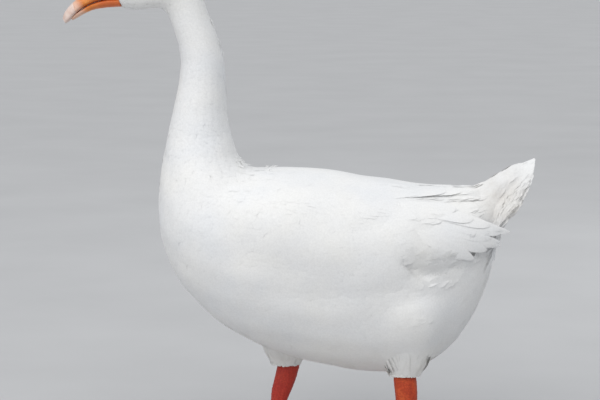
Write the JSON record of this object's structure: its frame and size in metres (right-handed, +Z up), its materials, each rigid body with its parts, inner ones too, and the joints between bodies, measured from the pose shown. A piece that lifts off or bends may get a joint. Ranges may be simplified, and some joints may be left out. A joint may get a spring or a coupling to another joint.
{
  "type": "domestic goose",
  "caption": "Life-size white domestic goose standing in mid stride, a still display model with folded wings.",
  "frame": {"origin": "on the floor, under the middle of the bounding box", "axes": "+X towards the bill, +Y to the bird's own left, +Z up; the soles are at z = 0"},
  "size_m": [0.6366, 0.237, 0.6635],
  "materials": {
    "plumage": "soft white feathers",
    "bill": "waxy orange horn",
    "nail": "pale pinkish horn",
    "leg_skin": "scaly orange-red skin",
    "claw": "dull horn",
    "eye": "wet, glossy blue eye"
  },
  "bodies": {
    "root": {"head": "plumage", "neck_upper": "plumage", "neck_lower": "plumage", "trunk": "plumage", "wing_left": "plumage", "wing_right": "plumage", "tail": "plumage", "thigh_left": "plumage", "thigh_right": "plumage", "bill_upper": "bill", "bill_lower": "bill", "bill_nail": "nail", "eye_left": "eye", "eye_right": "eye", "shank_left": "leg_skin", "shank_right": "leg_skin", "foot_left": "leg_skin", "foot_right": "leg_skin", "claw_left_inner": "claw", "claw_left_middle": "claw", "claw_left_outer": "claw", "claw_left_hind": "claw", "claw_right_inner": "claw", "claw_right_middle": "claw", "claw_right_outer": "claw", "claw_right_hind": "claw"}
  },
  "joints": []
}
